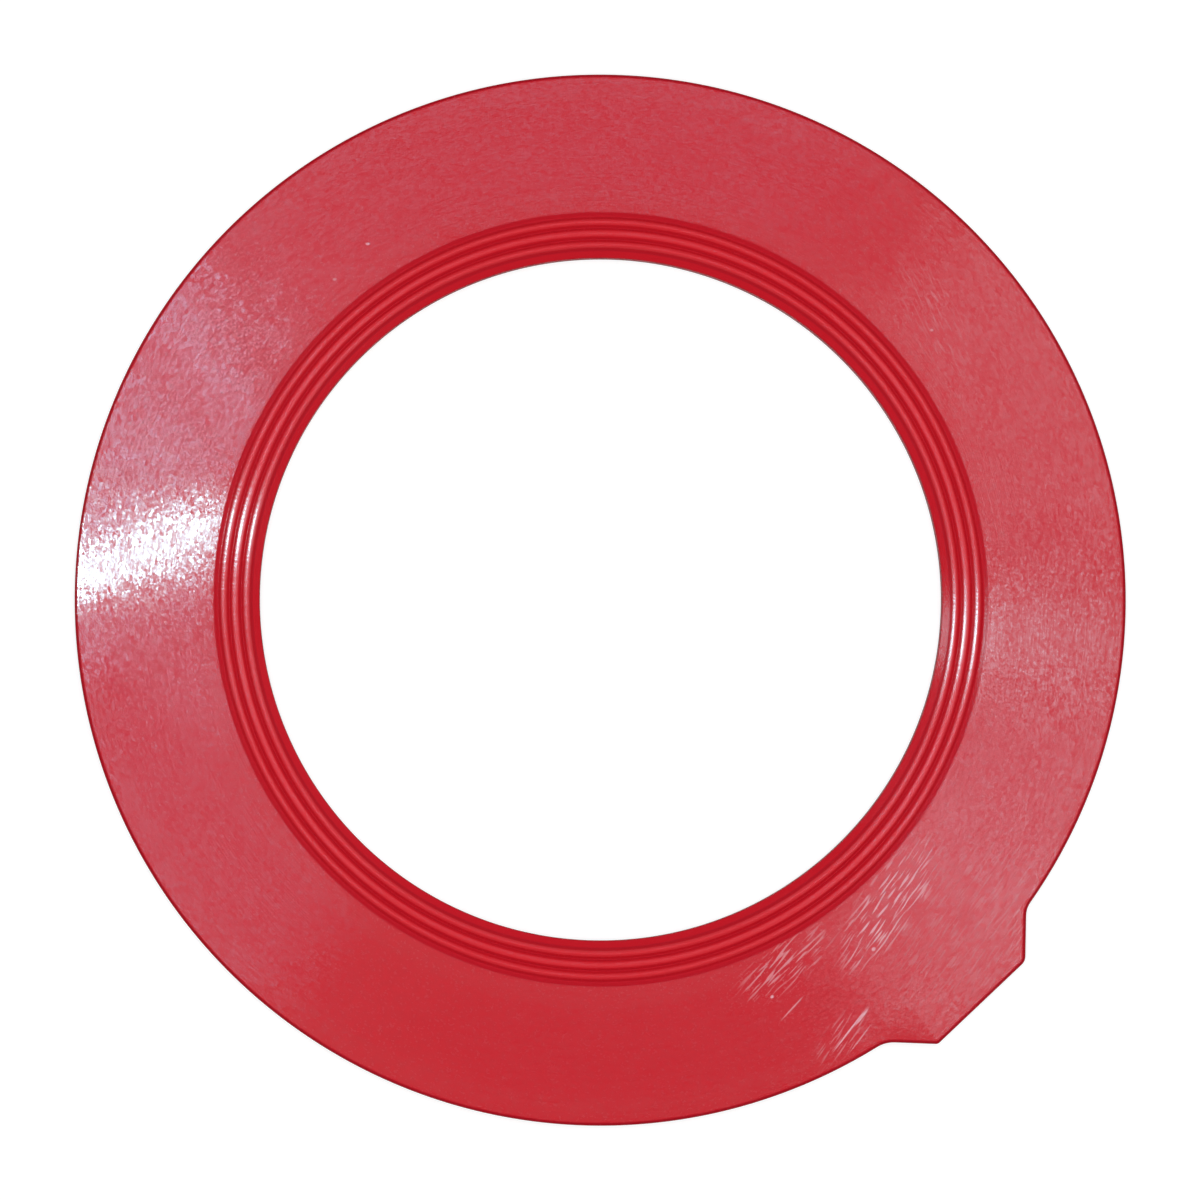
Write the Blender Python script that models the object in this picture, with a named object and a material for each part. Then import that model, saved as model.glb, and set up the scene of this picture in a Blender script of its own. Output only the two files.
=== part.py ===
"""Flush valve seal: one moulded rubber ring, with a flat flange, raised ribs round its bore and a pull tab.

Lengths are in metres and +Z is up. The origin is the centre of the bore on the underside, and the ribs
face up. The ring is a loft: one closed section is carried round the bore, circular on the inside and
following the rim and its tab on the outside.
"""

from math import acos, asin, atan2, cos, hypot, pi, radians, sin, tan
from typing import NamedTuple

import bmesh
import bpy
from mathutils import Matrix, Vector

MM = 0.001

# Ring
OUTER_DIAMETER = 89.0 * MM
BORE_DIAMETER = 57.8 * MM
FLANGE_THICKNESS = 2.2 * MM
RIM_EDGE_RADIUS = 0.4 * MM
BASE_EDGE_CHAMFER = 0.15 * MM

# Ribs and the grooves between them, measured up and down from the top of the flange
RIB_COUNT = 3
RIB_PITCH = 0.96 * MM
RIB_RISE = 0.25 * MM
RIB_CREST_RADIUS = 0.26 * MM
GROOVE_DEPTH = 0.15 * MM
GROOVE_RADIUS = 0.1 * MM
SHOULDER_RUN = 0.42 * MM
SHOULDER_RADIUS = 0.3 * MM

# Sloping lip between the bore and the first groove
LIP_WIDTH = 0.6 * MM
LIP_DROP = 0.3 * MM
LIP_EDGE_RADIUS = 0.12 * MM

# Pull tab: its angle is counter-clockwise from +X, and its sides are named looking outwards from above.
# The corner radii are those of the flat top, inside the rounded edge.
TAB_ANGLE = radians(-46.7)
TAB_REACH = 2.43 * MM
TAB_TIP_WIDTH = 10.2 * MM
TAB_FLANK_ANGLE = radians(44.5)
TAB_LEFT_CORNER_RADIUS = 0.6 * MM
TAB_RIGHT_CORNER_RADIUS = 0.1 * MM
TAB_LEFT_FILLET_RADIUS = 2.0 * MM
TAB_RIGHT_FILLET_RADIUS = 2.8 * MM

# Straight steps that stand for each round stretch. The tab's tip has some too, for the round bore behind it.
RIM_STEPS = 100
TIP_STEPS = 4
FILLET_STEPS = 4
CORNER_STEPS = 3
CREST_STEPS = 2
GROOVE_STEPS = 1
EDGE_STEPS = 3
LIP_EDGE_STEPS = 2

# Finish
RUBBER_COLOUR = (0.578, 0.028, 0.040, 1.0)
RUBBER_ROUGHNESS = 0.34

OUTER_RADIUS = OUTER_DIAMETER / 2
BORE_RADIUS = BORE_DIAMETER / 2
FLANGE_TOP = FLANGE_THICKNESS
GROOVE_FLOOR = FLANGE_TOP - GROOVE_DEPTH
RIB_TOP = FLANGE_TOP + RIB_RISE
FIRST_GROOVE = BORE_RADIUS + LIP_WIDTH
SHARP_ANGLE = radians(40.0)

# Share of the widest bends that fit a step, so that a straight flank is left between them
BEND_ROOM = 0.95


class Arc(NamedTuple):
    """A round stretch of the outline, in the tab's own frame, where +X points outwards.

    Its angles are those of the outline's outward normal, and its radius is negative where it is hollow.
    """

    centre: tuple[float, float]
    radius: float
    start: float
    end: float
    steps: int


def spread(start, end, steps):
    """Evenly spaced values from start to end, both included."""
    return [start + (end - start) * step / steps for step in range(steps + 1)]


def clear_scene():
    """Remove every object that the file holds."""
    for item in list(bpy.data.objects):
        bpy.data.objects.remove(item, do_unlink=True)


def arc_offset(radius, turn):
    """How far a bend of this radius has gone along and across when it has turned this far."""
    return radius * sin(turn), radius * (1 - cos(turn))


def smooth_step(start, end, start_bend, end_bend):
    """Points from one level stretch to another: a bend, a straight flank and a bend the other way.

    Each bend is its radius and its number of steps. The first point is left out, because the stretch
    before it ends there. Radii that leave no room for the flank are reduced together.
    """
    run = end[0] - start[0]
    rise = abs(end[1] - start[1])
    way = 1 if end[1] > start[1] else -1
    radii_sum = start_bend[0] + end_bend[0]
    widest = BEND_ROOM * (run ** 2 + rise ** 2) / (2 * rise)
    share = min(1.0, widest / radii_sum)
    drop = rise - share * radii_sum
    slope = atan2(drop, run) + asin(share * radii_sum / hypot(run, drop))
    points = []
    for turn in spread(0.0, slope, start_bend[1])[1:]:
        along, across = arc_offset(share * start_bend[0], turn)
        points.append((start[0] + along, start[1] + way * across))
    for turn in spread(slope, 0.0, end_bend[1]):
        along, across = arc_offset(share * end_bend[0], turn)
        points.append((end[0] - along, end[1] - way * across))
    return points


def lip_points():
    """The bore's wall, the round at its top and the slope up to the first groove, as radius and height."""
    slope = atan2(LIP_DROP, LIP_WIDTH)
    turn = pi / 2 - slope
    setback = LIP_EDGE_RADIUS * tan(turn / 2)
    centre = (BORE_RADIUS + LIP_EDGE_RADIUS, GROOVE_FLOOR - LIP_DROP - setback)
    points = [(BORE_RADIUS + BASE_EDGE_CHAMFER, 0.0), (BORE_RADIUS, BASE_EDGE_CHAMFER)]
    for angle in spread(0.0, turn, LIP_EDGE_STEPS):
        radius = centre[0] - LIP_EDGE_RADIUS * cos(angle)
        height = centre[1] + LIP_EDGE_RADIUS * sin(angle)
        points.append((radius, height))
    points.append((FIRST_GROOVE, GROOVE_FLOOR))
    return points


def rib_points():
    """The ribs from the first groove outwards, and the shoulder between the last groove and the flange."""
    crest_bend = (RIB_CREST_RADIUS, CREST_STEPS)
    groove_bend = (GROOVE_RADIUS, GROOVE_STEPS)
    shoulder_bend = (SHOULDER_RADIUS, CREST_STEPS)
    points = []
    for rib in range(RIB_COUNT):
        groove = (FIRST_GROOVE + rib * RIB_PITCH, GROOVE_FLOOR)
        crest = (groove[0] + RIB_PITCH / 2, RIB_TOP)
        next_groove = (groove[0] + RIB_PITCH, GROOVE_FLOOR)
        points += smooth_step(groove, crest, groove_bend, crest_bend)
        points += smooth_step(crest, next_groove, crest_bend, groove_bend)
    last_groove = (FIRST_GROOVE + RIB_COUNT * RIB_PITCH, GROOVE_FLOOR)
    shoulder = (last_groove[0] + SHOULDER_RUN, FLANGE_TOP)
    points += smooth_step(last_groove, shoulder, groove_bend, shoulder_bend)
    return points


def rim_levels():
    """The rim's rounded top edge, its wall and the break at its foot, as inset and height."""
    levels = []
    for turn in spread(0.0, pi / 2, EDGE_STEPS):
        along, across = arc_offset(RIM_EDGE_RADIUS, turn)
        levels.append((RIM_EDGE_RADIUS - along, FLANGE_TOP - across))
    levels.append((0.0, BASE_EDGE_CHAMFER))
    levels.append((BASE_EDGE_CHAMFER, 0.0))
    return levels


def tab_side(side, top_corner_radius, fillet_radius):
    """The tip corner and the fillet on one side of the tab, both given from the tip towards the rim.

    The side is 1 for the left one and -1 for the right one.
    """
    flank_normal = pi / 2 - TAB_FLANK_ANGLE
    tip = OUTER_RADIUS + TAB_REACH
    half_width = TAB_TIP_WIDTH / 2
    corner_radius = top_corner_radius + RIM_EDGE_RADIUS
    corner = (tip - corner_radius, side * (half_width - corner_radius * tan(flank_normal / 2)))
    across = tip * cos(flank_normal) + half_width * sin(flank_normal) + fillet_radius
    reach = OUTER_RADIUS + fillet_radius
    junction = flank_normal - acos(across / reach)
    fillet = (reach * cos(junction), side * reach * sin(junction))
    return [
        Arc(corner, corner_radius, 0.0, side * flank_normal, CORNER_STEPS),
        Arc(fillet, -fillet_radius, side * flank_normal, side * junction, FILLET_STEPS),
    ]


def outline_arcs():
    """All round stretches of the outline, counter-clockwise from the left end of the tab's tip.

    The rim's own two ends are left out, because the fillets end there.
    """
    left = tab_side(1, TAB_LEFT_CORNER_RADIUS, TAB_LEFT_FILLET_RADIUS)
    right = tab_side(-1, TAB_RIGHT_CORNER_RADIUS, TAB_RIGHT_FILLET_RADIUS)
    back = [Arc(arc.centre, arc.radius, arc.end, arc.start, arc.steps) for arc in reversed(right)]
    start = left[-1].end
    end = 2 * pi + back[0].start
    step = (end - start) / RIM_STEPS
    rim = Arc((0.0, 0.0), OUTER_RADIUS, start + step, end - step, RIM_STEPS - 2)
    return left + [rim] + back


def outline(inset):
    """Points of the outline, each moved inwards by the inset, with the tab turned to its angle.

    The arcs leave out the tab's straight tip, which closes the outline.
    """
    turn = Matrix.Rotation(TAB_ANGLE, 2)
    points = []
    for arc in outline_arcs():
        for normal in spread(arc.start, arc.end, arc.steps):
            reach = arc.radius - inset
            point = Vector((arc.centre[0] + reach * cos(normal), arc.centre[1] + reach * sin(normal)))
            points.append(turn @ point)
    tip = [points[-1].lerp(points[0], share) for share in spread(0.0, 1.0, TIP_STEPS)[1:-1]]
    return [tuple(point) for point in points + tip]


def section_rings():
    """The loft's rings, each a list of points, from the bore's foot over the top to the rim's foot."""
    bearings = [atan2(y, x) for x, y in outline(0.0)]
    rings = []
    for radius, height in lip_points() + rib_points():
        rings.append([(radius * cos(bearing), radius * sin(bearing), height) for bearing in bearings])
    for inset, height in rim_levels():
        rings.append([(x, y, height) for x, y in outline(inset)])
    return rings


def make_seal():
    """The seal's mesh: faces between each ring and the next, with the last ring joined to the first."""
    bm = bmesh.new()
    rings = [[bm.verts.new(point) for point in ring] for ring in section_rings()]
    for inner, outer in zip(rings, rings[1:] + rings[:1]):
        for place in range(len(inner)):
            bm.faces.new((inner[place - 1], outer[place - 1], outer[place], inner[place]))
    bmesh.ops.recalc_face_normals(bm, faces=bm.faces)
    mesh = bpy.data.meshes.new("seal")
    bm.to_mesh(mesh)
    bm.free()
    mesh.shade_smooth()
    mesh.set_sharp_from_angle(angle=SHARP_ANGLE)
    seal = bpy.data.objects.new("seal", mesh)
    bpy.context.scene.collection.objects.link(seal)
    return seal


def red_rubber():
    """Moulded red rubber with a satin shine."""
    material = bpy.data.materials.new("red_rubber")
    material.use_nodes = True
    shader = material.node_tree.nodes["Principled BSDF"]
    shader.inputs["Base Color"].default_value = RUBBER_COLOUR
    shader.inputs["Roughness"].default_value = RUBBER_ROUGHNESS
    shader.inputs["Metallic"].default_value = 0.0
    return material


def main():
    """Clear the scene and build the seal."""
    clear_scene()
    seal = make_seal()
    seal.data.materials.append(red_rubber())


main()
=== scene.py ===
"""Looks of a flush valve seal: its moulded ring with ribs and pull tab, the rubber's finish, and the studio.

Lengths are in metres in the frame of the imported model: +Z is up, the underside lies at zero, and the
origin is the centre of the bore. The photo's right is +X and its top is +Y.
"""

import logging
from dataclasses import dataclass, field
from enum import Enum
from math import acos, atan2, cos, pi, radians, sin, tan
from typing import Any

import bpy
from mathutils import Matrix, Vector


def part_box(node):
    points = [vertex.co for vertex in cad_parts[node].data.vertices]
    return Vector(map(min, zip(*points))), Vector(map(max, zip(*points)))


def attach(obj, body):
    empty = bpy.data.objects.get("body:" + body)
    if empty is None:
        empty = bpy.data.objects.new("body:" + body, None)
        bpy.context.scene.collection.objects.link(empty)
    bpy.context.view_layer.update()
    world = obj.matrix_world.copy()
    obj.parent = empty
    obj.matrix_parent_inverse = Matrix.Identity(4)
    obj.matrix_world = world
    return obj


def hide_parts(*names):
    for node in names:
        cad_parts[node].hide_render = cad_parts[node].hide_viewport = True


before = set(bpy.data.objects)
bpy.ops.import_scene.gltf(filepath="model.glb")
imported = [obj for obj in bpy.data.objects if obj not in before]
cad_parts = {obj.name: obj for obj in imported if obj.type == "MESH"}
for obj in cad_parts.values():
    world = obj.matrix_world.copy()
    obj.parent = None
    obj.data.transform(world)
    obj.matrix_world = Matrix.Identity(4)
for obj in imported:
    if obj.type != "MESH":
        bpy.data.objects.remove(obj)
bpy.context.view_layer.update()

MM = 0.001
SEAL_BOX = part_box("seal")

# The photo's width, and what one of its pixels measures on the flange
PHOTO_WIDTH_PX = 1200
PHOTO_PIXEL = 0.08447 * MM

# Share of a scratch's length and width inside which it shows at its full strength
SCRATCH_CORE = 0.4

log = logging.getLogger("seal")

Point = tuple[float, float, float]
Level = tuple[float, float]
Tree = bpy.types.NodeTree
Socket = bpy.types.NodeSocket


def spread(start: float, end: float, steps: int) -> list[float]:
    """Values evenly spaced from start to end.

    Args:
        start: The first value.
        end: The last value.
        steps: How many equal steps lie between them.

    Returns:
        The values, both ends included.
    """
    return [start + (end - start) * step / steps for step in range(steps + 1)]


def linear(hex_colour: str) -> tuple[float, float, float, float]:
    """Turn an sRGB colour into the linear one that the renderer works with.

    Args:
        hex_colour: The colour as #rrggbb.

    Returns:
        Linear red, green and blue, and an alpha of one.
    """
    channels = [int(hex_colour[place:place + 2], 16) / 255 for place in (1, 3, 5)]
    red, green, blue = (c / 12.92 if c <= 0.04045 else ((c + 0.055) / 1.055) ** 2.4 for c in channels)
    return (red, green, blue, 1.0)


def add_node(
    tree: Tree,
    kind: str,
    inputs: dict[str | int, Any] | None = None,
    **settings: Any,
) -> bpy.types.Node:
    """Add a node, set its properties, and fill or link its inputs.

    Args:
        tree: The node tree of a material, a world or a shape.
        kind: The type name of the node.
        inputs: For each input, by name or by place, its value or the socket that feeds it.
        settings: The node's own properties.

    Returns:
        The new node.
    """
    node = tree.nodes.new(kind)
    for name, value in settings.items():
        setattr(node, name, value)
    for key, value in (inputs or {}).items():
        if isinstance(value, Socket):
            tree.links.new(value, node.inputs[key])
        else:
            node.inputs[key].default_value = value
    return node


def maths(tree: Tree, operation: str, *values: Any) -> Socket:
    """Work out a number from values or sockets."""
    return add_node(tree, "ShaderNodeMath", dict(enumerate(values)), operation=operation).outputs[0]


def vector_maths(tree: Tree, operation: str, *vectors: Any) -> Socket:
    """Work out a vector from vectors or sockets."""
    return add_node(tree, "ShaderNodeVectorMath", dict(enumerate(vectors)), operation=operation).outputs[0]


def scaled(tree: Tree, vector: Socket, factor: Any) -> Socket:
    """A vector times a number."""
    inputs = {0: vector, "Scale": factor}
    return add_node(tree, "ShaderNodeVectorMath", inputs, operation="SCALE").outputs[0]


def length_of(tree: Tree, vector: Socket) -> Socket:
    """How long a vector is."""
    return add_node(tree, "ShaderNodeVectorMath", {0: vector}, operation="LENGTH").outputs["Value"]


def axes_of(tree: Tree, vector: Socket) -> Any:
    """The X, Y and Z of a vector."""
    return add_node(tree, "ShaderNodeSeparateXYZ", {0: vector}).outputs


def upright(tree: Tree, height: Any) -> Socket:
    """A vector that points straight up and is this long."""
    return add_node(tree, "ShaderNodeCombineXYZ", {2: height}).outputs[0]


def level_part(tree: Tree, place: Socket) -> Socket:
    """A place without its height, which makes it a vector from the bore's axis."""
    return vector_maths(tree, "MULTIPLY", place, (1.0, 1.0, 0.0))


def object_place(tree: Tree) -> Socket:
    """The point's place on the seal, in metres."""
    return add_node(tree, "ShaderNodeTexCoord").outputs["Object"]


class Side(Enum):
    """The two sides of the pull tab, looking outwards from above; the value is the sign across it."""

    LEFT = 1
    RIGHT = -1


@dataclass(frozen=True)
class Arc:
    """A round stretch of the outline, in the tab's own frame, where +X points outwards.

    The angles are those of the outward normal, and the radius is negative where the outline is hollow.
    """

    centre: tuple[float, float]
    radius: float
    start: float
    end: float
    steps: int

    def points(self, inset: float) -> list[Vector]:
        """Points of the arc.

        Args:
            inset: How far the points are moved inwards.

        Returns:
            The points from the arc's start to its end.
        """
        reach = self.radius - inset
        return [
            Vector((self.centre[0] + reach * cos(normal), self.centre[1] + reach * sin(normal)))
            for normal in spread(self.start, self.end, self.steps)
        ]

    def turned_round(self) -> "Arc":
        """The same arc, run from its end to its start."""
        return Arc(self.centre, self.radius, self.end, self.start, self.steps)


@dataclass(frozen=True)
class PullTab:
    """The square-tipped tab that the seal is pulled off by, whose flanks meet the rim in fillets."""

    angle: float = radians(-46.7)
    reach: float = 2.43 * MM
    tip_width: float = 10.2 * MM
    flank_angle: float = radians(44.5)
    corner_radii: dict[Side, float] = field(
        default_factory=lambda: {Side.LEFT: 1.0 * MM, Side.RIGHT: 0.5 * MM}
    )
    fillet_radii: dict[Side, float] = field(
        default_factory=lambda: {Side.LEFT: 2.0 * MM, Side.RIGHT: 2.8 * MM}
    )
    corner_steps: int = 8
    fillet_steps: int = 10

    def side(self, side: Side, rim_radius: float) -> list[Arc]:
        """The tip corner and the fillet on one side.

        Args:
            side: Which side of the tab.
            rim_radius: The radius of the rim that the fillet runs into.

        Returns:
            The two arcs, both from the tip towards the rim.
        """
        flank_normal = pi / 2 - self.flank_angle
        tip = rim_radius + self.reach
        half_width = self.tip_width / 2
        corner_radius = self.corner_radii[side]
        fillet_radius = self.fillet_radii[side]
        corner_across = half_width - corner_radius * tan(flank_normal / 2)
        flank_distance = tip * cos(flank_normal) + half_width * sin(flank_normal)
        fillet_reach = rim_radius + fillet_radius
        junction = flank_normal - acos((flank_distance + fillet_radius) / fillet_reach)
        corner = (tip - corner_radius, side.value * corner_across)
        fillet = (fillet_reach * cos(junction), side.value * fillet_reach * sin(junction))
        return [
            Arc(corner, corner_radius, 0.0, side.value * flank_normal, self.corner_steps),
            Arc(fillet, -fillet_radius, side.value * flank_normal, side.value * junction, self.fillet_steps),
        ]


@dataclass(frozen=True)
class RibBand:
    """The ribs round the bore: a wave on the radius, raised from the blank's groove floor."""

    first_groove: float
    floor_height: float
    pitch: float = 0.96 * MM
    count: int = 3
    height: float = 0.4 * MM
    roundness: float = 1.3
    flatter_rib: int = 1
    flatter_by: float = 0.5
    points_per_rib: int = 18
    floor_tolerance: float = 0.01 * MM

    @property
    def end(self) -> float:
        """The radius of the last groove's floor."""
        return self.first_groove + self.count * self.pitch

    def radii(self) -> list[float]:
        """The radii at which the blank needs points for the wave."""
        return spread(self.first_groove, self.end, self.count * self.points_per_rib)[1:]

    def tree(self) -> Tree:
        """Build the node tree that raises the ribs.

        Returns:
            A tree with an input for each size, the rubber's material among them.
        """
        tree = bpy.data.node_groups.new("rib_band", "GeometryNodeTree")
        tree.interface.new_socket("Geometry", in_out="INPUT", socket_type="NodeSocketGeometry")
        for name in ("First Groove", "Floor Height", "Pitch", "Height", "Roundness", "Flatter By"):
            tree.interface.new_socket(name, in_out="INPUT", socket_type="NodeSocketFloat")
        for name in ("Count", "Flatter Rib"):
            tree.interface.new_socket(name, in_out="INPUT", socket_type="NodeSocketInt")
        tree.interface.new_socket("Rubber", in_out="INPUT", socket_type="NodeSocketMaterial")
        tree.interface.new_socket("Geometry", in_out="OUTPUT", socket_type="NodeSocketGeometry")
        given = add_node(tree, "NodeGroupInput").outputs
        place = add_node(tree, "GeometryNodeInputPosition").outputs["Position"]
        height = axes_of(tree, place)["Z"]
        radius = length_of(tree, level_part(tree, place))
        rib = maths(tree, "DIVIDE", maths(tree, "SUBTRACT", radius, given["First Groove"]), given["Pitch"])
        wave = maths(tree, "ABSOLUTE", maths(tree, "SINE", maths(tree, "MULTIPLY", rib, pi)))
        flatter = maths(tree, "COMPARE", maths(tree, "FLOOR", rib), given["Flatter Rib"], 0.5)
        less_round = maths(tree, "MULTIPLY", flatter, given["Flatter By"])
        crest = maths(tree, "POWER", wave, maths(tree, "SUBTRACT", given["Roundness"], less_round))
        lift = upright(tree, maths(tree, "MULTIPLY", crest, given["Height"]))
        past_lip, before_shoulder, on_floor = (
            add_node(tree, "FunctionNodeCompare", inputs, operation=operation).outputs[0]
            for operation, inputs in (
                ("GREATER_THAN", {0: rib, 1: 0.0}),
                ("LESS_THAN", {0: rib, 1: given["Count"]}),
                ("EQUAL", {0: height, 1: given["Floor Height"], "Epsilon": self.floor_tolerance}),
            )
        )
        in_band = add_node(tree, "FunctionNodeBooleanMath", {0: past_lip, 1: before_shoulder}).outputs[0]
        ribbed = add_node(tree, "FunctionNodeBooleanMath", {0: in_band, 1: on_floor}).outputs[0]
        wanted = {"Geometry": given["Geometry"], "Selection": ribbed, "Offset": lift}
        raised = add_node(tree, "GeometryNodeSetPosition", wanted)
        smooth = add_node(tree, "GeometryNodeSetShadeSmooth", {"Geometry": raised.outputs[0]})
        whole = add_node(tree, "GeometryNodeRealizeInstances", {"Geometry": smooth.outputs[0]})
        dressed = add_node(
            tree, "GeometryNodeSetMaterial", {"Geometry": whole.outputs[0], "Material": given["Rubber"]}
        )
        add_node(tree, "NodeGroupOutput", {"Geometry": dressed.outputs[0]})
        return tree

    def raise_on(self, blank: bpy.types.Object, rubber: bpy.types.Material) -> bpy.types.Mesh:
        """Raise the ribs on the blank.

        Args:
            blank: The ring without its ribs.
            rubber: The material that the tree sets.

        Returns:
            The evaluated ring as a plain mesh.
        """
        tree = self.tree()
        modifier = blank.modifiers.new("rib_band", "NODES")
        modifier.node_group = tree
        values = {
            "First Groove": self.first_groove,
            "Floor Height": self.floor_height,
            "Pitch": self.pitch,
            "Height": self.height,
            "Roundness": self.roundness,
            "Flatter By": self.flatter_by,
            "Flatter Rib": self.flatter_rib,
            "Count": self.count,
            "Rubber": rubber,
        }
        for item in tree.interface.items_tree:
            if item.in_out == "INPUT" and item.name in values:
                modifier[item.identifier] = values[item.name]
        evaluated = blank.evaluated_get(bpy.context.evaluated_depsgraph_get())
        mesh = bpy.data.meshes.new_from_object(evaluated)
        blank.modifiers.remove(modifier)
        return mesh


@dataclass(frozen=True)
class Scratch:
    """A single scratch on the flange, drawn as a long thin ellipse that fades towards its edge."""

    centre: tuple[float, float]
    angle: float
    half_length: float
    half_width: float
    strength: float = 1.0

    def mask(self, tree: Tree, place: Socket) -> Socket:
        """Where the scratch is.

        Args:
            tree: The material's node tree.
            place: The point's place on the seal.

        Returns:
            A value that is the strength in the middle and zero outside the ellipse.
        """
        within = add_node(
            tree,
            "ShaderNodeMapping",
            {
                "Vector": place,
                "Location": (*self.centre, 0.0),
                "Rotation": (0.0, 0.0, self.angle),
                "Scale": (self.half_length, self.half_width, 1.0),
            },
            vector_type="TEXTURE",
        )
        far = length_of(tree, within.outputs[0])
        limits = {"Value": far, "From Min": 1.0, "From Max": SCRATCH_CORE, "To Max": self.strength}
        return add_node(tree, "ShaderNodeMapRange", limits, interpolation_type="SMOOTHSTEP").outputs[0]


@dataclass(frozen=True)
class Scuff(Scratch):
    """A patch of many fine scratches, all in one direction."""

    line_angle: float = radians(55)
    line_length: float = 1.8 * MM
    line_spacing: float = 0.19 * MM
    line_limits: tuple[float, float] = (0.56, 0.68)

    def mask(self, tree: Tree, place: Socket) -> Socket:
        """Where the patch's scratches are.

        Args:
            tree: The material's node tree.
            place: The point's place on the seal.

        Returns:
            A value that is zero between the scratches and off the patch.
        """
        patch = super().mask(tree, place)
        along = add_node(
            tree,
            "ShaderNodeMapping",
            {
                "Vector": place,
                "Rotation": (0.0, 0.0, self.line_angle),
                "Scale": (self.line_length, self.line_spacing, 1.0),
            },
            vector_type="TEXTURE",
        )
        pattern = {"Vector": along.outputs[0], "Scale": 1.0, "Detail": 0.0}
        lines = add_node(tree, "ShaderNodeTexNoise", pattern).outputs["Fac"]
        faint, full = self.line_limits
        sharp = add_node(tree, "ShaderNodeMapRange", {"Value": lines, "From Min": faint, "From Max": full})
        return maths(tree, "MULTIPLY", patch, sharp.outputs[0])


# The scuffs, scratches and specks that the photo shows, at their places on the flange
WEAR = (
    Scuff((24.3 * MM, -26.0 * MM), radians(54.8), 8.0 * MM, 3.0 * MM),
    Scuff((15.7 * MM, -30.8 * MM), radians(35.6), 6.2 * MM, 2.4 * MM, 0.6, line_angle=radians(47)),
    Scuff((20.2 * MM, -37.0 * MM), radians(52), 4.0 * MM, 1.6 * MM, 0.45),
    Scuff((31.0 * MM, -27.5 * MM), radians(45), 11.0 * MM, 7.0 * MM, 0.18),
    Scuff((28.0 * MM, 24.0 * MM), radians(-63), 7.5 * MM, 3.0 * MM, 0.15, line_angle=radians(-63)),
    Scratch((21.0 * MM, -36.4 * MM), radians(52.4), 2.9 * MM, 0.1 * MM),
    Scratch((22.0 * MM, -35.3 * MM), radians(52.4), 1.2 * MM, 0.15 * MM),
    Scratch((21.9 * MM, -37.1 * MM), radians(52.4), 1.8 * MM, 0.08 * MM, 0.6),
    Scratch((16.1 * MM, -34.6 * MM), radians(47.2), 1.7 * MM, 0.09 * MM, 0.7),
    Scratch((23.0 * MM, -29.6 * MM), radians(50), 0.25 * MM, 0.2 * MM),
    Scratch((14.4 * MM, -33.6 * MM), radians(50), 0.2 * MM, 0.15 * MM),
    Scratch((-19.8 * MM, 30.0 * MM), 0.0, 0.22 * MM, 0.16 * MM, 0.8),
    Scratch((-22.6 * MM, 27.0 * MM), 0.0, 0.2 * MM, 0.15 * MM, 0.6),
    Scratch((28.0 * MM, 22.8 * MM), 0.0, 0.2 * MM, 0.15 * MM, 0.6),
)


def wear_mask(tree: Tree, place: Socket) -> Socket:
    """All the wear as one mask, which follows the strongest mark at each place.

    Args:
        tree: The material's node tree.
        place: The point's place on the seal.

    Returns:
        A value that is one where the wear is strongest and zero on the sound skin.
    """
    most = 0.0
    for mark in WEAR:
        most = maths(tree, "MAXIMUM", most, mark.mask(tree, place))
    return most


@dataclass(frozen=True)
class Twist:
    """A slight twist of the soft ring, which slants the highlight that lies across it."""

    bearing: float = radians(173)
    radius: float = 38.0 * MM
    reach: float = 20.0 * MM
    turn_per_metre: float = 7.5

    def height(self, tree: Tree, place: Socket) -> Socket:
        """How far the skin lies above the flat face.

        Args:
            tree: The material's node tree.
            place: The point's place on the seal.

        Returns:
            The height in millimetres.
        """
        centre = (self.radius * cos(self.bearing), self.radius * sin(self.bearing), 0.0)
        within = add_node(
            tree,
            "ShaderNodeMapping",
            {"Vector": place, "Location": centre, "Rotation": (0.0, 0.0, self.bearing)},
            vector_type="TEXTURE",
        ).outputs[0]
        axes = axes_of(tree, within)
        saddle = maths(tree, "MULTIPLY", axes["X"], axes["Y"])
        most = self.turn_per_metre / MM
        limits = {"Value": length_of(tree, within), "From Min": self.reach, "From Max": 0.0, "To Max": most}
        fade = add_node(tree, "ShaderNodeMapRange", limits, interpolation_type="SMOOTHSTEP")
        return maths(tree, "MULTIPLY", saddle, fade.outputs[0])


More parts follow.
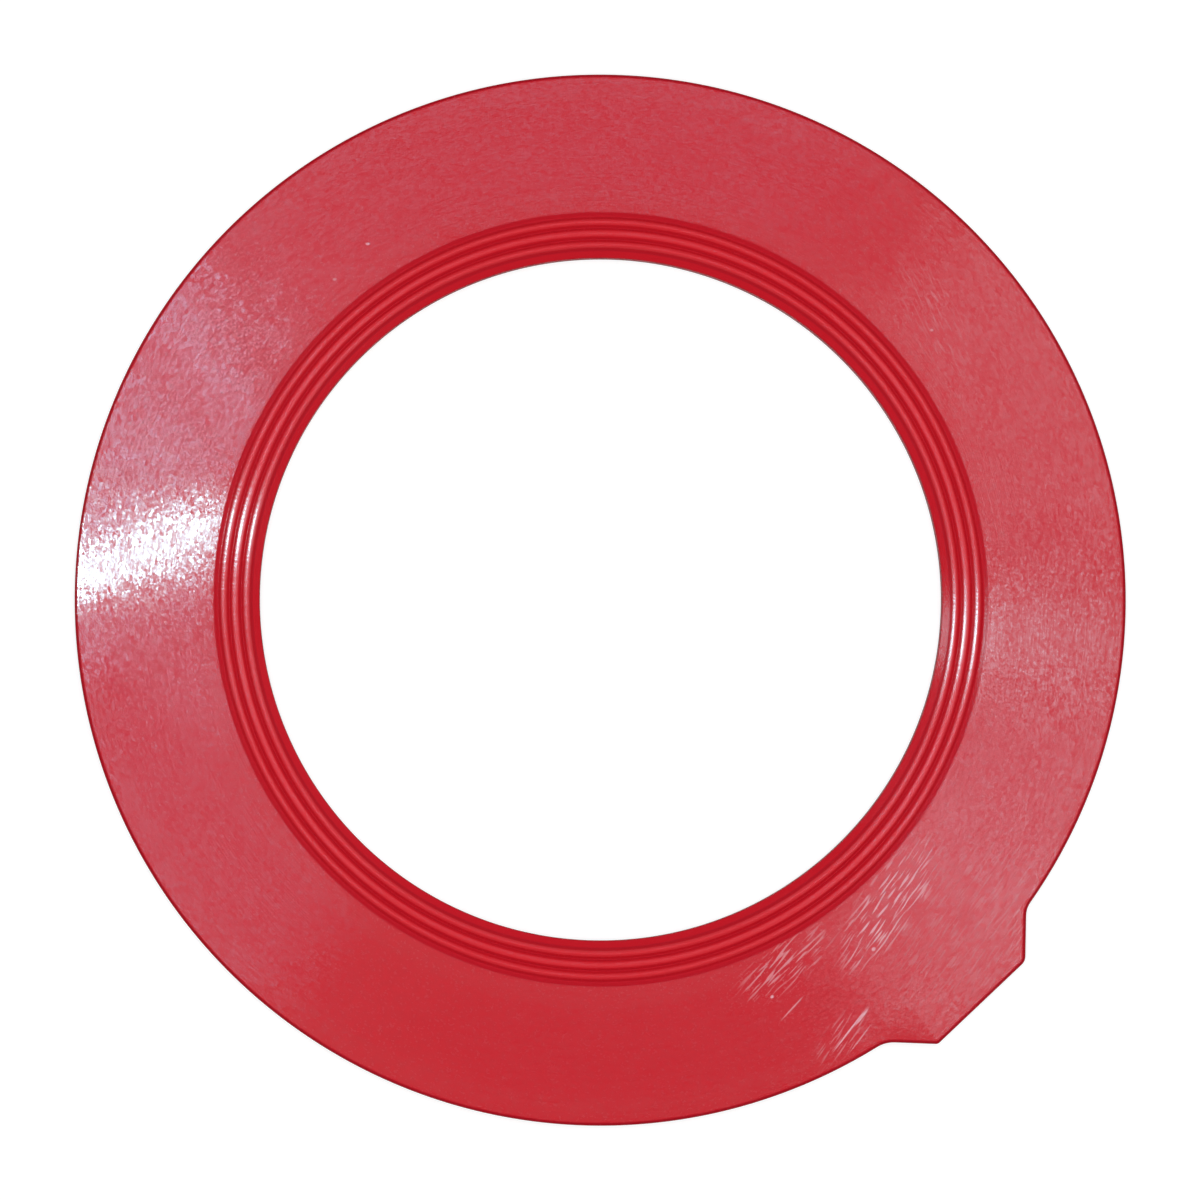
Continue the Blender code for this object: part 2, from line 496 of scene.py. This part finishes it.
@dataclass(frozen=True)
class MouldedSilicone:
    """Red silicone rubber, pressed in a mould whose faces were turned on a lathe.

    The turned mould leaves fine circular lines, so the shine is drawn out along the radius: a lamp gives a
    bright sector, as on a record. The rubber itself is a dense, even red. The flange has a satin, finely
    grained skin, the ribs are smoother and have narrow highlights, and the rounded rim is dull. The ribs'
    crests are painted lighter, as painted light, and the grooves and the rim are painted darker, as painted
    shade. Where the flange was scuffed the scratches are pale, partly as worn rubber and partly as a painted
    glint of their walls.

    The real grain is too fine to show in the render, so its specks are drawn larger, as large as they look
    in the photo. A pattern has one size along the ring's circles and one across them. The heights of the
    relief are in millimetres, and a mask's limits go from where it is zero to where it is one.
    """

    first_groove: float
    groove_pitch: float
    band_end: float
    flange_top: float
    name: str = "moulded_red_silicone"

    # Colours
    colour: str = "#c91b28"
    # Partly the worn rubber's own paleness and partly a painted glint of the scratch walls
    scratch_wear_and_glint_colour: str = "#f0b9c0"
    # Painted shade in the grooves and on the shoulder beside the last one
    groove_painted_shade_colour: str = "#bd1a28"
    # Painted light on the rib crests
    crest_painted_light_colour: str = "#d9222e"
    # Painted shade on the rim's rounded edge and its wall
    rim_painted_shade_colour: str = "#b01221"
    scratch_cover: float = 0.65

    # Shine
    ior: float = 1.43
    anisotropy: float = 1.0
    roughness: float = 0.26
    roughness_swing: float = 0.1
    crest_roughness: float = 0.32
    shine: float = 0.5
    shine_swing: float = 0.4
    rough_patch: Scratch = Scratch((-31.5 * MM, 13.5 * MM), radians(-113), 22.0 * MM, 16.0 * MM)
    rough_swing: float = 0.57
    crest_shine: float = 0.4
    dull_shine: float = 0.03

    # Grain and relief
    middle_radius: float = 37.0 * MM
    speck_along: float = 0.32 * MM
    speck_across: float = 0.18 * MM
    speck_lean: float = 0.04
    rib_lean: float = 0.012
    grain_along: float = 0.26 * MM
    grain_across: float = 0.2 * MM
    grain_height: float = 0.008
    line_along: float = 9.0 * MM
    line_across: float = 0.16 * MM
    line_height: float = 0.012
    wave_size: float = 9.0 * MM
    wave_height: float = 0.09
    scratch_height: float = 0.02

    # Where the masks lie
    crest_limits: tuple[float, float] = (0.55, 0.9)
    groove_limits: tuple[float, float] = (0.6, 0.1)
    band_blur_share: float = 0.1
    shoulder_share: float = 0.4
    ribbed_shares: tuple[float, float] = (1 / 2, 1 / 3)
    flange_reaches: tuple[float, float] = (1.0 * MM, 2.0 * MM)
    rim_drops: tuple[float, float] = (0.005 * MM, 0.05 * MM)
    rim_foot_limits: tuple[float, float] = (0.0, 0.1 * MM)
    upper_limits: tuple[float, float] = (0.1 * MM, 0.3 * MM)

    def ring_point(self, tree: Tree, along: float, across: float) -> Socket:
        """The point for a pattern that follows the ring, stretched along its circles and without a seam.

        Args:
            tree: The material's node tree.
            along: The size of the pattern along the circles, at the middle of the flange.
            across: Its size along the radius and up the walls.

        Returns:
            A vector whose unit is the pattern's size.
        """
        place = object_place(tree)
        flat = level_part(tree, place)
        circle = scaled(tree, vector_maths(tree, "NORMALIZE", flat), self.middle_radius / along)
        out = maths(tree, "ADD", length_of(tree, flat), axes_of(tree, place)["Z"])
        return vector_maths(tree, "ADD", circle, upright(tree, maths(tree, "MULTIPLY", out, 1 / across)))

    def noise(self, tree: Tree, along: float, across: float) -> Socket:
        """Soft noise on the ring, from zero to one, with one finer layer."""
        inputs = {"Vector": self.ring_point(tree, along, across), "Scale": 1.0, "Detail": 1.0}
        return add_node(tree, "ShaderNodeTexNoise", inputs).outputs["Fac"]

    def specks(self, tree: Tree) -> Socket:
        """Small cells on the ring.

        Args:
            tree: The material's node tree.

        Returns:
            A vector that each cell has of its own, from minus a half to a half on each axis.
        """
        inputs = {"Vector": self.ring_point(tree, self.speck_along, self.speck_across), "Scale": 1.0}
        cells = add_node(tree, "ShaderNodeTexVoronoi", inputs).outputs["Color"]
        return vector_maths(tree, "SUBTRACT", cells, (0.5, 0.5, 0.5))

    def lean(self, tree: Tree, specks: Socket, ribbed: Socket) -> Socket:
        """How the skin leans in each speck, less on the ribs, which makes the shine grainy."""
        return scaled(tree, specks, self.blend(tree, ribbed, self.speck_lean, self.rib_lean))

    def zone(self, tree: Tree, value: Socket, outside: float, inside: float) -> Socket:
        """A soft mask: zero at the outside limit and past it, one at the inside limit and past it."""
        limits = {"Value": value, "From Min": outside, "From Max": inside}
        return add_node(tree, "ShaderNodeMapRange", limits, interpolation_type="SMOOTHSTEP").outputs[0]

    def both(self, tree: Tree, one: Socket, other: Socket) -> Socket:
        """The part of a mask that lies in another one as well."""
        return maths(tree, "MULTIPLY", one, other)

    def blend(self, tree: Tree, mask: Socket, base: Any, over: Any, colour: bool = False) -> Socket:
        """A value or a colour that changes where a mask is.

        Args:
            tree: The material's node tree.
            mask: The mask.
            base: What it is where the mask is zero.
            over: What it is where the mask is one.
            colour: Whether it is a colour.

        Returns:
            The blended value or colour.
        """
        if colour:
            ends = {"Factor": mask, 6: base, 7: over}
            return add_node(tree, "ShaderNodeMix", ends, data_type="RGBA").outputs[2]
        return add_node(tree, "ShaderNodeMix", {"Factor": mask, 2: base, 3: over}).outputs[0]

    def rib_masks(self, tree: Tree, radius: Socket, upper: Socket) -> tuple[Socket, Socket]:
        """Where the crests of the ribs are and where the grooves are, from a wave over the radius.

        Args:
            tree: The material's node tree.
            radius: The point's distance from the bore's axis.
            upper: The mask of the upper side, because the underside is plain.

        Returns:
            A mask of the crests, and one of the grooves, which takes in the shoulder beside the last groove.
        """
        beyond = maths(tree, "SUBTRACT", radius, self.first_groove)
        turn = maths(tree, "MULTIPLY", beyond, pi / self.groove_pitch)
        wave = maths(tree, "ABSOLUTE", maths(tree, "SINE", turn))
        blur = self.band_blur_share * self.groove_pitch
        band = self.both(
            tree,
            self.zone(tree, radius, self.first_groove - blur, self.first_groove),
            self.zone(tree, radius, self.band_end + blur, self.band_end),
        )
        band = self.both(tree, band, upper)
        crests = self.both(tree, self.zone(tree, wave, *self.crest_limits), band)
        floors = self.both(tree, self.zone(tree, wave, *self.groove_limits), band)
        shoulder_end = self.band_end + self.shoulder_share * self.groove_pitch
        shoulder = self.both(
            tree,
            self.zone(tree, radius, self.band_end - blur, self.band_end),
            self.zone(tree, radius, shoulder_end + blur, shoulder_end),
        )
        shoulder = self.both(tree, shoulder, upper)
        grooves = maths(tree, "MAXIMUM", floors, shoulder)
        return crests, grooves

    def relief(self, tree: Tree, grain: Socket, scratches: Socket, leaning: Socket) -> Socket:
        """The skin's fine relief as a bent normal.

        Args:
            tree: The material's node tree.
            grain: The fine grain.
            scratches: The mask of the scratches.
            leaning: How the skin leans in each speck.

        Returns:
            The normal for the shader.
        """
        place = object_place(tree)
        swell = {"Vector": place, "Scale": 1 / self.wave_size, "Detail": 1.0}
        waves = add_node(tree, "ShaderNodeTexNoise", swell)
        layers = (
            (grain, self.grain_height),
            (self.noise(tree, self.line_along, self.line_across), self.line_height),
            (waves.outputs["Fac"], self.wave_height),
            (scratches, -self.scratch_height),
            (Twist().height(tree, place), 1.0),
        )
        height = 0.0
        for pattern, size in layers:
            height = maths(tree, "MULTIPLY_ADD", pattern, size, height)
        skin = {"Strength": 1.0, "Distance": MM, "Height": height}
        bent = add_node(tree, "ShaderNodeBump", skin).outputs[0]
        return vector_maths(tree, "NORMALIZE", vector_maths(tree, "ADD", bent, leaning))

    def rim_mask(self, tree: Tree, radius: Socket, height: Socket) -> Socket:
        """Where the rim's rounded edge and its wall are, down to its foot.

        Args:
            tree: The material's node tree.
            radius: The point's distance from the bore's axis.
            height: The point's height.

        Returns:
            The mask.
        """
        top, lower = (self.flange_top - drop for drop in self.rim_drops)
        below_top = self.zone(tree, height, top, lower)
        off_floor = self.zone(tree, height, *self.rim_foot_limits)
        near, far = (self.band_end + reach for reach in self.flange_reaches)
        beyond_ribs = self.zone(tree, radius, near, far)
        return self.both(tree, self.both(tree, below_top, off_floor), beyond_ribs)

    def ribbed_mask(self, tree: Tree, radius: Socket, upper: Socket) -> Socket:
        """Where the ribs and the shoulder beside them are, on the upper side."""
        outer, inner = (self.band_end + share * self.groove_pitch for share in self.ribbed_shares)
        return self.both(tree, self.zone(tree, radius, outer, inner), upper)

    def shine_strength(self, tree: Tree, place: Socket, specks: Socket) -> Socket:
        """How strongly each speck of the flange shines: unevenly, and most so in the rough patch."""
        swing = self.blend(tree, self.rough_patch.mask(tree, place), self.shine_swing, self.rough_swing)
        return maths(tree, "MULTIPLY_ADD", axes_of(tree, specks)["Z"], swing, self.shine)

    def build(self) -> bpy.types.Material:
        """Build the material.

        Returns:
            The finished material.
        """
        material = bpy.data.materials.new(self.name)
        material.use_nodes = True
        tree = material.node_tree
        shader = tree.nodes["Principled BSDF"]
        shader.inputs["IOR"].default_value = self.ior
        shader.inputs["Anisotropic"].default_value = self.anisotropy
        place = object_place(tree)
        flat = level_part(tree, place)
        radius = length_of(tree, flat)
        height = axes_of(tree, place)["Z"]
        upper = self.zone(tree, height, *self.upper_limits)
        crests, grooves = self.rib_masks(tree, radius, upper)
        ribbed = self.ribbed_mask(tree, radius, upper)
        rim = self.rim_mask(tree, radius, height)
        grain = self.noise(tree, self.grain_along, self.grain_across)
        specks = self.specks(tree)
        scratches = wear_mask(tree, place)
        smoothest = self.roughness - self.roughness_swing / 2
        satin = maths(tree, "MULTIPLY_ADD", grain, self.roughness_swing, smoothest)
        roughness = self.blend(tree, crests, satin, self.crest_roughness)
        shine = self.blend(tree, ribbed, self.shine_strength(tree, place, specks), self.dull_shine)
        shine = self.blend(tree, crests, shine, self.crest_shine)
        shine = self.blend(tree, rim, shine, self.dull_shine)
        pale = maths(tree, "MULTIPLY", scratches, self.scratch_cover)
        colour = linear(self.colour)
        # Painted light and shade: scratches paled partly as wear and partly as a painted glint, grooves and
        # rim darkened as painted shade, crests lightened as painted light
        for mask, over in (
            (pale, self.scratch_wear_and_glint_colour),
            (grooves, self.groove_painted_shade_colour),
            (crests, self.crest_painted_light_colour),
            (rim, self.rim_painted_shade_colour),
        ):
            colour = self.blend(tree, mask, colour, linear(over), colour=True)
        for source, target in (
            (vector_maths(tree, "NORMALIZE", flat), "Tangent"),
            (self.relief(tree, grain, scratches, self.lean(tree, specks, ribbed)), "Normal"),
            (roughness, "Roughness"),
            (shine, "Specular IOR Level"),
            (colour, "Base Color"),
        ):
            tree.links.new(source, shader.inputs[target])
        return material


@dataclass
class Seal:
    """The whole seal: one moulded ring with its flange, lip, ribs and pull tab."""

    outer_radius: float
    thickness: float
    tab: PullTab = PullTab()
    bore_radius: float = 28.9 * MM
    flange_thickness: float = 2.2 * MM
    rim_edge_radius: float = 0.4 * MM
    foot_radius: float = 0.15 * MM
    groove_depth: float = 0.15 * MM
    lip_width: float = 0.6 * MM
    lip_drop: float = 0.3 * MM
    lip_edge_radius: float = 0.12 * MM
    shoulder_run: float = 0.42 * MM
    rim_steps: int = 560
    flange_steps: int = 6
    foot_steps: int = 3
    lip_edge_steps: int = 5
    lip_steps: int = 4
    shoulder_steps: int = 8
    rim_edge_steps: int = 8

    @property
    def groove_floor(self) -> float:
        """The height of the grooves between the ribs."""
        return self.flange_thickness - self.groove_depth

    @property
    def ribs(self) -> RibBand:
        """The rib band, from the end of the lip outwards."""
        height = self.thickness - self.groove_floor
        return RibBand(self.bore_radius + self.lip_width, self.groove_floor, height=height)

    @property
    def finish(self) -> MouldedSilicone:
        """The rubber, whose skin changes where the ribs, the grooves and the rim are."""
        ribs = self.ribs
        return MouldedSilicone(ribs.first_groove, ribs.pitch, ribs.end, self.flange_thickness)

    def arcs(self) -> list[Arc]:
        """The outline's round stretches.

        Returns:
            The arcs, counter-clockwise from the left end of the tab's tip.
        """
        left = self.tab.side(Side.LEFT, self.outer_radius)
        right = [arc.turned_round() for arc in reversed(self.tab.side(Side.RIGHT, self.outer_radius))]
        start = left[-1].end
        end = 2 * pi + right[0].start
        step = (end - start) / self.rim_steps
        rim = Arc((0.0, 0.0), self.outer_radius, start + step, end - step, self.rim_steps - 2)
        return [*left, rim, *right]

    def outline(self, inset: float) -> list[tuple[float, float]]:
        """The rim with its tab, counter-clockwise from the tab's tip.

        The straight stretches between the arcs get points as close as those on the rim, so that the bore
        behind them is as round as elsewhere.

        Args:
            inset: How far the outline is moved inwards.

        Returns:
            Its points, with the tab turned to its place.
        """
        arcs = self.arcs()
        longest = 2 * pi * self.outer_radius / self.rim_steps
        turn = Matrix.Rotation(self.tab.angle, 2)
        points = []
        for arc, following in zip(arcs, arcs[1:] + arcs[:1]):
            gap = (following.points(0.0)[0] - arc.points(0.0)[-1]).length
            stretch = arc.points(inset)
            after = following.points(inset)[0]
            shares = spread(0.0, 1.0, max(1, round(gap / longest)))[1:-1]
            points += stretch + [stretch[-1].lerp(after, share) for share in shares]
        return [tuple(turn @ point) for point in points]

    def bore_levels(self) -> list[Level]:
        """The bore's foot, wall and lip, up to the first groove.

        Returns:
            Their points as radius and height.
        """
        slope = atan2(self.lip_drop, self.lip_width)
        turn = pi / 2 - slope
        lip_top = self.groove_floor - self.lip_drop - self.lip_edge_radius * tan(turn / 2)
        levels = [
            (self.bore_radius + self.foot_radius * (1 - sin(angle)), self.foot_radius * (1 - cos(angle)))
            for angle in spread(0.0, pi / 2, self.foot_steps)
        ]
        for angle in spread(0.0, turn, self.lip_edge_steps):
            radius = self.bore_radius + self.lip_edge_radius * (1 - cos(angle))
            levels.append((radius, lip_top + self.lip_edge_radius * sin(angle)))
        edge_radius, edge_height = levels[-1]
        first_groove = self.bore_radius + self.lip_width
        for share in spread(0.0, 1.0, self.lip_steps)[1:]:
            radius = edge_radius + share * (first_groove - edge_radius)
            levels.append((radius, edge_height + share * (self.groove_floor - edge_height)))
        return levels

    def shoulder_levels(self) -> list[Level]:
        """The rounded step from the last groove up to the flange.

        Returns:
            Its points as radius and height.
        """
        levels = []
        for share in spread(0.0, 1.0, self.shoulder_steps)[1:]:
            rise = self.groove_depth * (1 - cos(pi * share)) / 2
            levels.append((self.ribs.end + self.shoulder_run * share, self.groove_floor + rise))
        return levels

    def flange_levels(self) -> list[Level]:
        """The level face of the flange, up to the rim's rounded edge.

        Returns:
            Its points as radius and height.
        """
        start = self.ribs.end + self.shoulder_run
        end = self.outer_radius - self.rim_edge_radius
        return [(radius, self.flange_thickness) for radius in spread(start, end, self.flange_steps)[1:-1]]

    def rim_levels(self) -> list[Level]:
        """The rim's rounded upper edge, its wall and its foot.

        Returns:
            Their points as inset and height.
        """
        levels = []
        for angle in spread(0.0, pi / 2, self.rim_edge_steps):
            inset = self.rim_edge_radius * (1 - sin(angle))
            levels.append((inset, self.flange_thickness - self.rim_edge_radius * (1 - cos(angle))))
        for angle in spread(0.0, pi / 2, self.foot_steps):
            levels.append((self.foot_radius * (1 - cos(angle)), self.foot_radius * (1 - sin(angle))))
        return levels

    def rings(self) -> list[list[Point]]:
        """The blank's rings of points.

        Returns:
            A list of points for each ring, from the bore's foot over the top to the rim's foot.
        """
        bearings = [atan2(y, x) for x, y in self.outline(0.0)]
        band = [(radius, self.groove_floor) for radius in self.ribs.radii()]
        rings = []
        for radius, height in self.bore_levels() + band + self.shoulder_levels() + self.flange_levels():
            rings.append([(radius * cos(bearing), radius * sin(bearing), height) for bearing in bearings])
        for inset, height in self.rim_levels():
            rings.append([(x, y, height) for x, y in self.outline(inset)])
        return rings

    def blank(self) -> bpy.types.Object:
        """Build the ring without its ribs.

        Returns:
            The blank, closed and with its faces outwards.
        """
        rings = self.rings()
        count = len(rings[0])
        points = [point for ring in rings for point in ring]
        faces = []
        for ring in range(len(rings)):
            inner = ring * count
            outer = (ring + 1) % len(rings) * count
            for place in range(count):
                after = (place + 1) % count
                faces.append((inner + place, outer + place, outer + after, inner + after))
        mesh = bpy.data.meshes.new("seal_ring")
        mesh.from_pydata(points, [], faces)
        mesh.validate()
        blank = bpy.data.objects.new("seal_ring", mesh)
        bpy.context.scene.collection.objects.link(blank)
        return blank

    def build(self) -> bpy.types.Object:
        """Build the seal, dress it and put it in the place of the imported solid.

        Returns:
            The finished piece.
        """
        ring = self.blank()
        ring.data = self.ribs.raise_on(ring, self.finish.build())
        ring.data.name = ring.name
        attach(ring, "root")
        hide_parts("seal")
        return ring


@dataclass(frozen=True)
class WhiteCard:
    """Matt white card, as under a product photo: even and pale, with the object's shadow kept.

    Seen directly it glows a little, so that it reads as a white background.
    """

    name: str = "matt_white_card"
    colour: str = "#a0a0a0"
    glow: float = 0.75

    def build(self) -> bpy.types.Material:
        """Build the material.

        Returns:
            The finished material.
        """
        material = bpy.data.materials.new(self.name)
        material.use_nodes = True
        tree = material.node_tree
        shader = tree.nodes["Principled BSDF"]
        shader.inputs["Base Color"].default_value = linear(self.colour)
        shader.inputs["Roughness"].default_value = 1.0
        shader.inputs["Specular IOR Level"].default_value = 0.0
        shader.inputs["Emission Color"].default_value = (1.0, 1.0, 1.0, 1.0)
        path = add_node(tree, "ShaderNodeLightPath").outputs
        seen = maths(tree, "MAXIMUM", path["Is Camera Ray"], path["Is Glossy Ray"])
        seen = maths(tree, "MAXIMUM", seen, path["Is Transmission Ray"])
        tree.links.new(maths(tree, "MULTIPLY", seen, self.glow), shader.inputs["Emission Strength"])
        return material


class LampColour(Enum):
    """The colours of the lamps.

    A camera keeps bright red from clipping, so a white sheen adds little red: the lamps that give it are
    cyan, and a deeper cyan at the top and the left, where the sheen is bluer.
    """

    WHITE = "#ffffff"
    SHEEN = "#aaf3ff"
    BLUE_SHEEN = "#6cdfff"


@dataclass(frozen=True)
class SoftBox:
    """A soft lamp that faces the seal, placed by its bearing and its tilt from straight above.

    As it stands it is a small lamp close by, which gives the rubber a highlight and doesn't light it.
    """

    name: str
    bearing: float
    width: float
    power: float
    colour: LampColour = LampColour.SHEEN
    length: float = 0.04
    tilt: float = radians(26)
    distance: float = 0.16
    lights_body: bool = False
    shines: bool = True

    def build(self) -> bpy.types.Object:
        """Build the lamp.

        Returns:
            The lamp, whose longer side points over the seal.
        """
        lamp = bpy.data.lights.new(self.name, "AREA")
        lamp.shape = "RECTANGLE"
        lamp.size = self.width
        lamp.size_y = self.length
        lamp.energy = self.power
        lamp.color = linear(self.colour.value)[:3]
        box = bpy.data.objects.new(self.name, lamp)
        level = sin(self.tilt)
        back = Vector((level * cos(self.bearing), level * sin(self.bearing), cos(self.tilt)))
        across = Vector((-sin(self.bearing), cos(self.bearing), 0.0))
        turn = Matrix((across, back.cross(across), back)).transposed()
        box.matrix_world = Matrix.Translation(back * self.distance) @ turn.to_4x4()
        box.visible_camera = False
        box.visible_diffuse = self.lights_body
        box.visible_glossy = self.shines
        bpy.context.scene.collection.objects.link(box)
        return box


@dataclass(frozen=True)
class Studio:
    """The floor, the even light of the room, and the soft boxes."""

    floor_radius: float = 3.0
    floor_gap: float = 0.02 * MM
    floor_corners: int = 64
    room_light: float = 0.25
    horizon_light: float = 0.3
    zenith_light: float = 0.05
    pale_heights: tuple[float, float] = (0.12, 0.45)
    dark_height: float = 0.75

    def floor(self) -> bpy.types.Object:
        """Lay the white floor.

        Returns:
            The floor, marked as no part of the object.
        """
        corners = [
            (self.floor_radius * cos(angle), self.floor_radius * sin(angle), -self.floor_gap)
            for angle in spread(0.0, 2 * pi, self.floor_corners)[:-1]
        ]
        mesh = bpy.data.meshes.new("floor")
        mesh.from_pydata(corners, [], [range(self.floor_corners)])
        mesh.materials.append(WhiteCard().build())
        floor = bpy.data.objects.new("floor", mesh)
        bpy.context.scene.collection.objects.link(floor)
        return floor

    def room(self) -> bpy.types.World:
        """Light the room: pale from a little above the horizon, and dark straight above.

        Returns:
            The world.
        """
        world = bpy.data.worlds.new("room")
        world.use_nodes = True
        tree = world.node_tree
        way = add_node(tree, "ShaderNodeTexCoord").outputs["Generated"]
        ramp = add_node(tree, "ShaderNodeValToRGB", {0: axes_of(tree, way)["Z"]})
        ramp.color_ramp.interpolation = "EASE"
        stops = ramp.color_ramp.elements
        for place in self.pale_heights:
            stops.new(place).color = (1.0, 1.0, 1.0, 1.0)
        for stop, light in ((stops[0], self.horizon_light), (stops[-1], self.zenith_light)):
            stop.color = (light, light, light, 1.0)
        stops[-1].position = self.dark_height
        background = tree.nodes["Background"].inputs
        tree.links.new(ramp.outputs[0], background["Color"])
        background["Strength"].default_value = self.room_light
        bpy.context.scene.world = world
        return world

    def lamps(self) -> list[SoftBox]:
        """The lamps: one overhead that lights the seal, the key light, and those of the weaker highlights.

        Returns:
            The lamps, each with its name, bearing, width, power and colour.
        """
        blue = LampColour.BLUE_SHEEN
        overhead = SoftBox(
            "overhead_light",
            bearing=0.0,
            width=0.8,
            power=9.9,
            colour=LampColour.WHITE,
            length=0.8,
            tilt=0.0,
            distance=1.0,
            lights_body=True,
            shines=False,
        )
        return [
            overhead,
            SoftBox("key_light", radians(171.5), 0.008, 0.95, tilt=radians(42), distance=0.17),
            SoftBox("window_light_1", radians(143), 0.01, 0.06, blue),
            SoftBox("window_light_2", radians(158), 0.008, 0.046, blue),
            SoftBox("wall_light", radians(182), 0.008, 0.032, blue),
            SoftBox("left_light", radians(207), 0.06, 0.06, blue),
            SoftBox("door_light", radians(341), 0.03, 0.032),
            SoftBox("side_light", radians(28), 0.05, 0.052),
            SoftBox("low_light", radians(321), 0.03, 0.038),
            SoftBox("top_light", radians(98), 0.12, 0.09, blue),
        ]

    def build(self) -> None:
        """Set up the floor, the room and the lamps."""
        self.floor()
        self.room()
        for lamp in self.lamps():
            lamp.build()


@dataclass(frozen=True)
class TopCamera:
    """The camera, almost straight above, a little towards the lower left."""

    lens_mm: float = 180.0
    sensor_mm: float = 36.0
    view_width: float = PHOTO_WIDTH_PX * PHOTO_PIXEL
    aim: Point = (-0.136 * MM, -0.106 * MM, 2.2 * MM)
    offset: tuple[float, float] = (-14.0 * MM, -14.0 * MM)

    def build(self) -> bpy.types.Object:
        """Build the camera, with the photo's top at +Y.

        Returns:
            The scene's camera.
        """
        data = bpy.data.cameras.new("camera")
        data.lens = self.lens_mm
        data.sensor_width = self.sensor_mm
        distance = self.view_width * self.lens_mm / self.sensor_mm
        place = Vector((self.offset[0], self.offset[1], 0.0)) + Vector(self.aim)
        place.z += distance
        back = (place - Vector(self.aim)).normalized()
        right = Vector((0.0, 1.0, 0.0)).cross(back).normalized()
        turn = Matrix((right, back.cross(right), back)).transposed()
        camera = bpy.data.objects.new("camera", data)
        camera.matrix_world = Matrix.Translation(place) @ turn.to_4x4()
        bpy.context.scene.collection.objects.link(camera)
        bpy.context.scene.camera = camera
        return camera


def main() -> None:
    """Build the seal, the studio and the camera."""
    logging.basicConfig(level=logging.INFO, format="%(name)s: %(message)s")
    low, high = SEAL_BOX
    seal = Seal(outer_radius=min(high.x, high.y, -low.x, -low.y), thickness=high.z).build()
    log.info("%s: %d faces", seal.name, len(seal.data.polygons))
    Studio().build()
    TopCamera().build()
    bpy.context.scene.view_settings.view_transform = "Standard"


if __name__ == "__main__":
    main()
